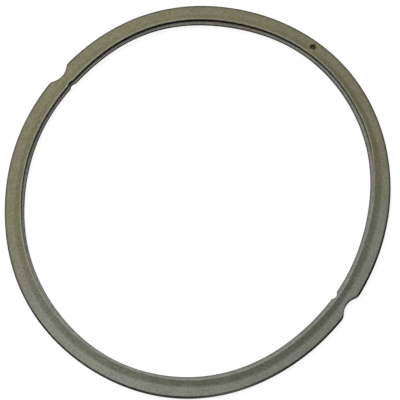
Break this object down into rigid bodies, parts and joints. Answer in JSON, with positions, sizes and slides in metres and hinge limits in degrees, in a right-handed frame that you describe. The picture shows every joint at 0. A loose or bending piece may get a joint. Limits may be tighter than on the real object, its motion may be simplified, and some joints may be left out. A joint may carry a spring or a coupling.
{
  "type": "pressure cooker sealing ring",
  "caption": "Flat rubber sealing ring for a pressure cooker lid, with a C-shaped lip section, scallops in its outer wall and a nick in the lower lip behind each.",
  "frame": {"origin": "centre of the ring, on the plane of its base", "axes": "+Z along the ring's axis, from the base to the crest of the upper lip; the near scallop is 37 degrees from +X towards -Y"},
  "size_m": [0.24, 0.24, 0.0069],
  "materials": {
    "grey_rubber": "matte moulded"
  },
  "bodies": {
    "root": {"sealing_ring": "grey_rubber"}
  },
  "joints": []
}
